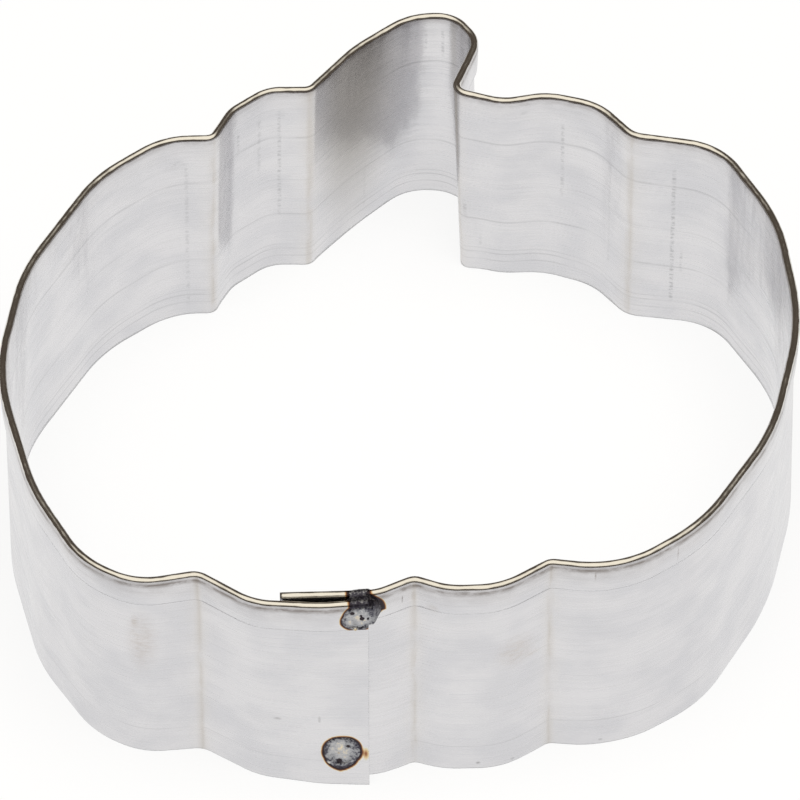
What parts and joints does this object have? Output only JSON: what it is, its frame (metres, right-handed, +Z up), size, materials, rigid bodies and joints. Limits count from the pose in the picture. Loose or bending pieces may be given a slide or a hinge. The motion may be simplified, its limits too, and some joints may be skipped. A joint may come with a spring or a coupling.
{
  "type": "cookie cutter",
  "caption": "Pumpkin-shaped cookie cutter: a hemmed tinplate strip bent to an outline with a short stem, spot welded at its lap, open top and bottom.",
  "frame": {"origin": "middle of the plan's bounding box, on the plane of the cutting edge", "axes": "+Y towards the stem, +X to the right seen from the seam, +Z up from the cutting edge to the hemmed rim"},
  "size_m": [0.0764, 0.0804, 0.025],
  "materials": {
    "tinplate": "bright cold-rolled tinplate with faint roll lines",
    "burnt_weld": "rough, heat-blued and partly oxidised"
  },
  "bodies": {
    "root": {"band": "tinplate", "upper_spot_weld": "burnt_weld", "lower_spot_weld": "burnt_weld"}
  },
  "joints": []
}
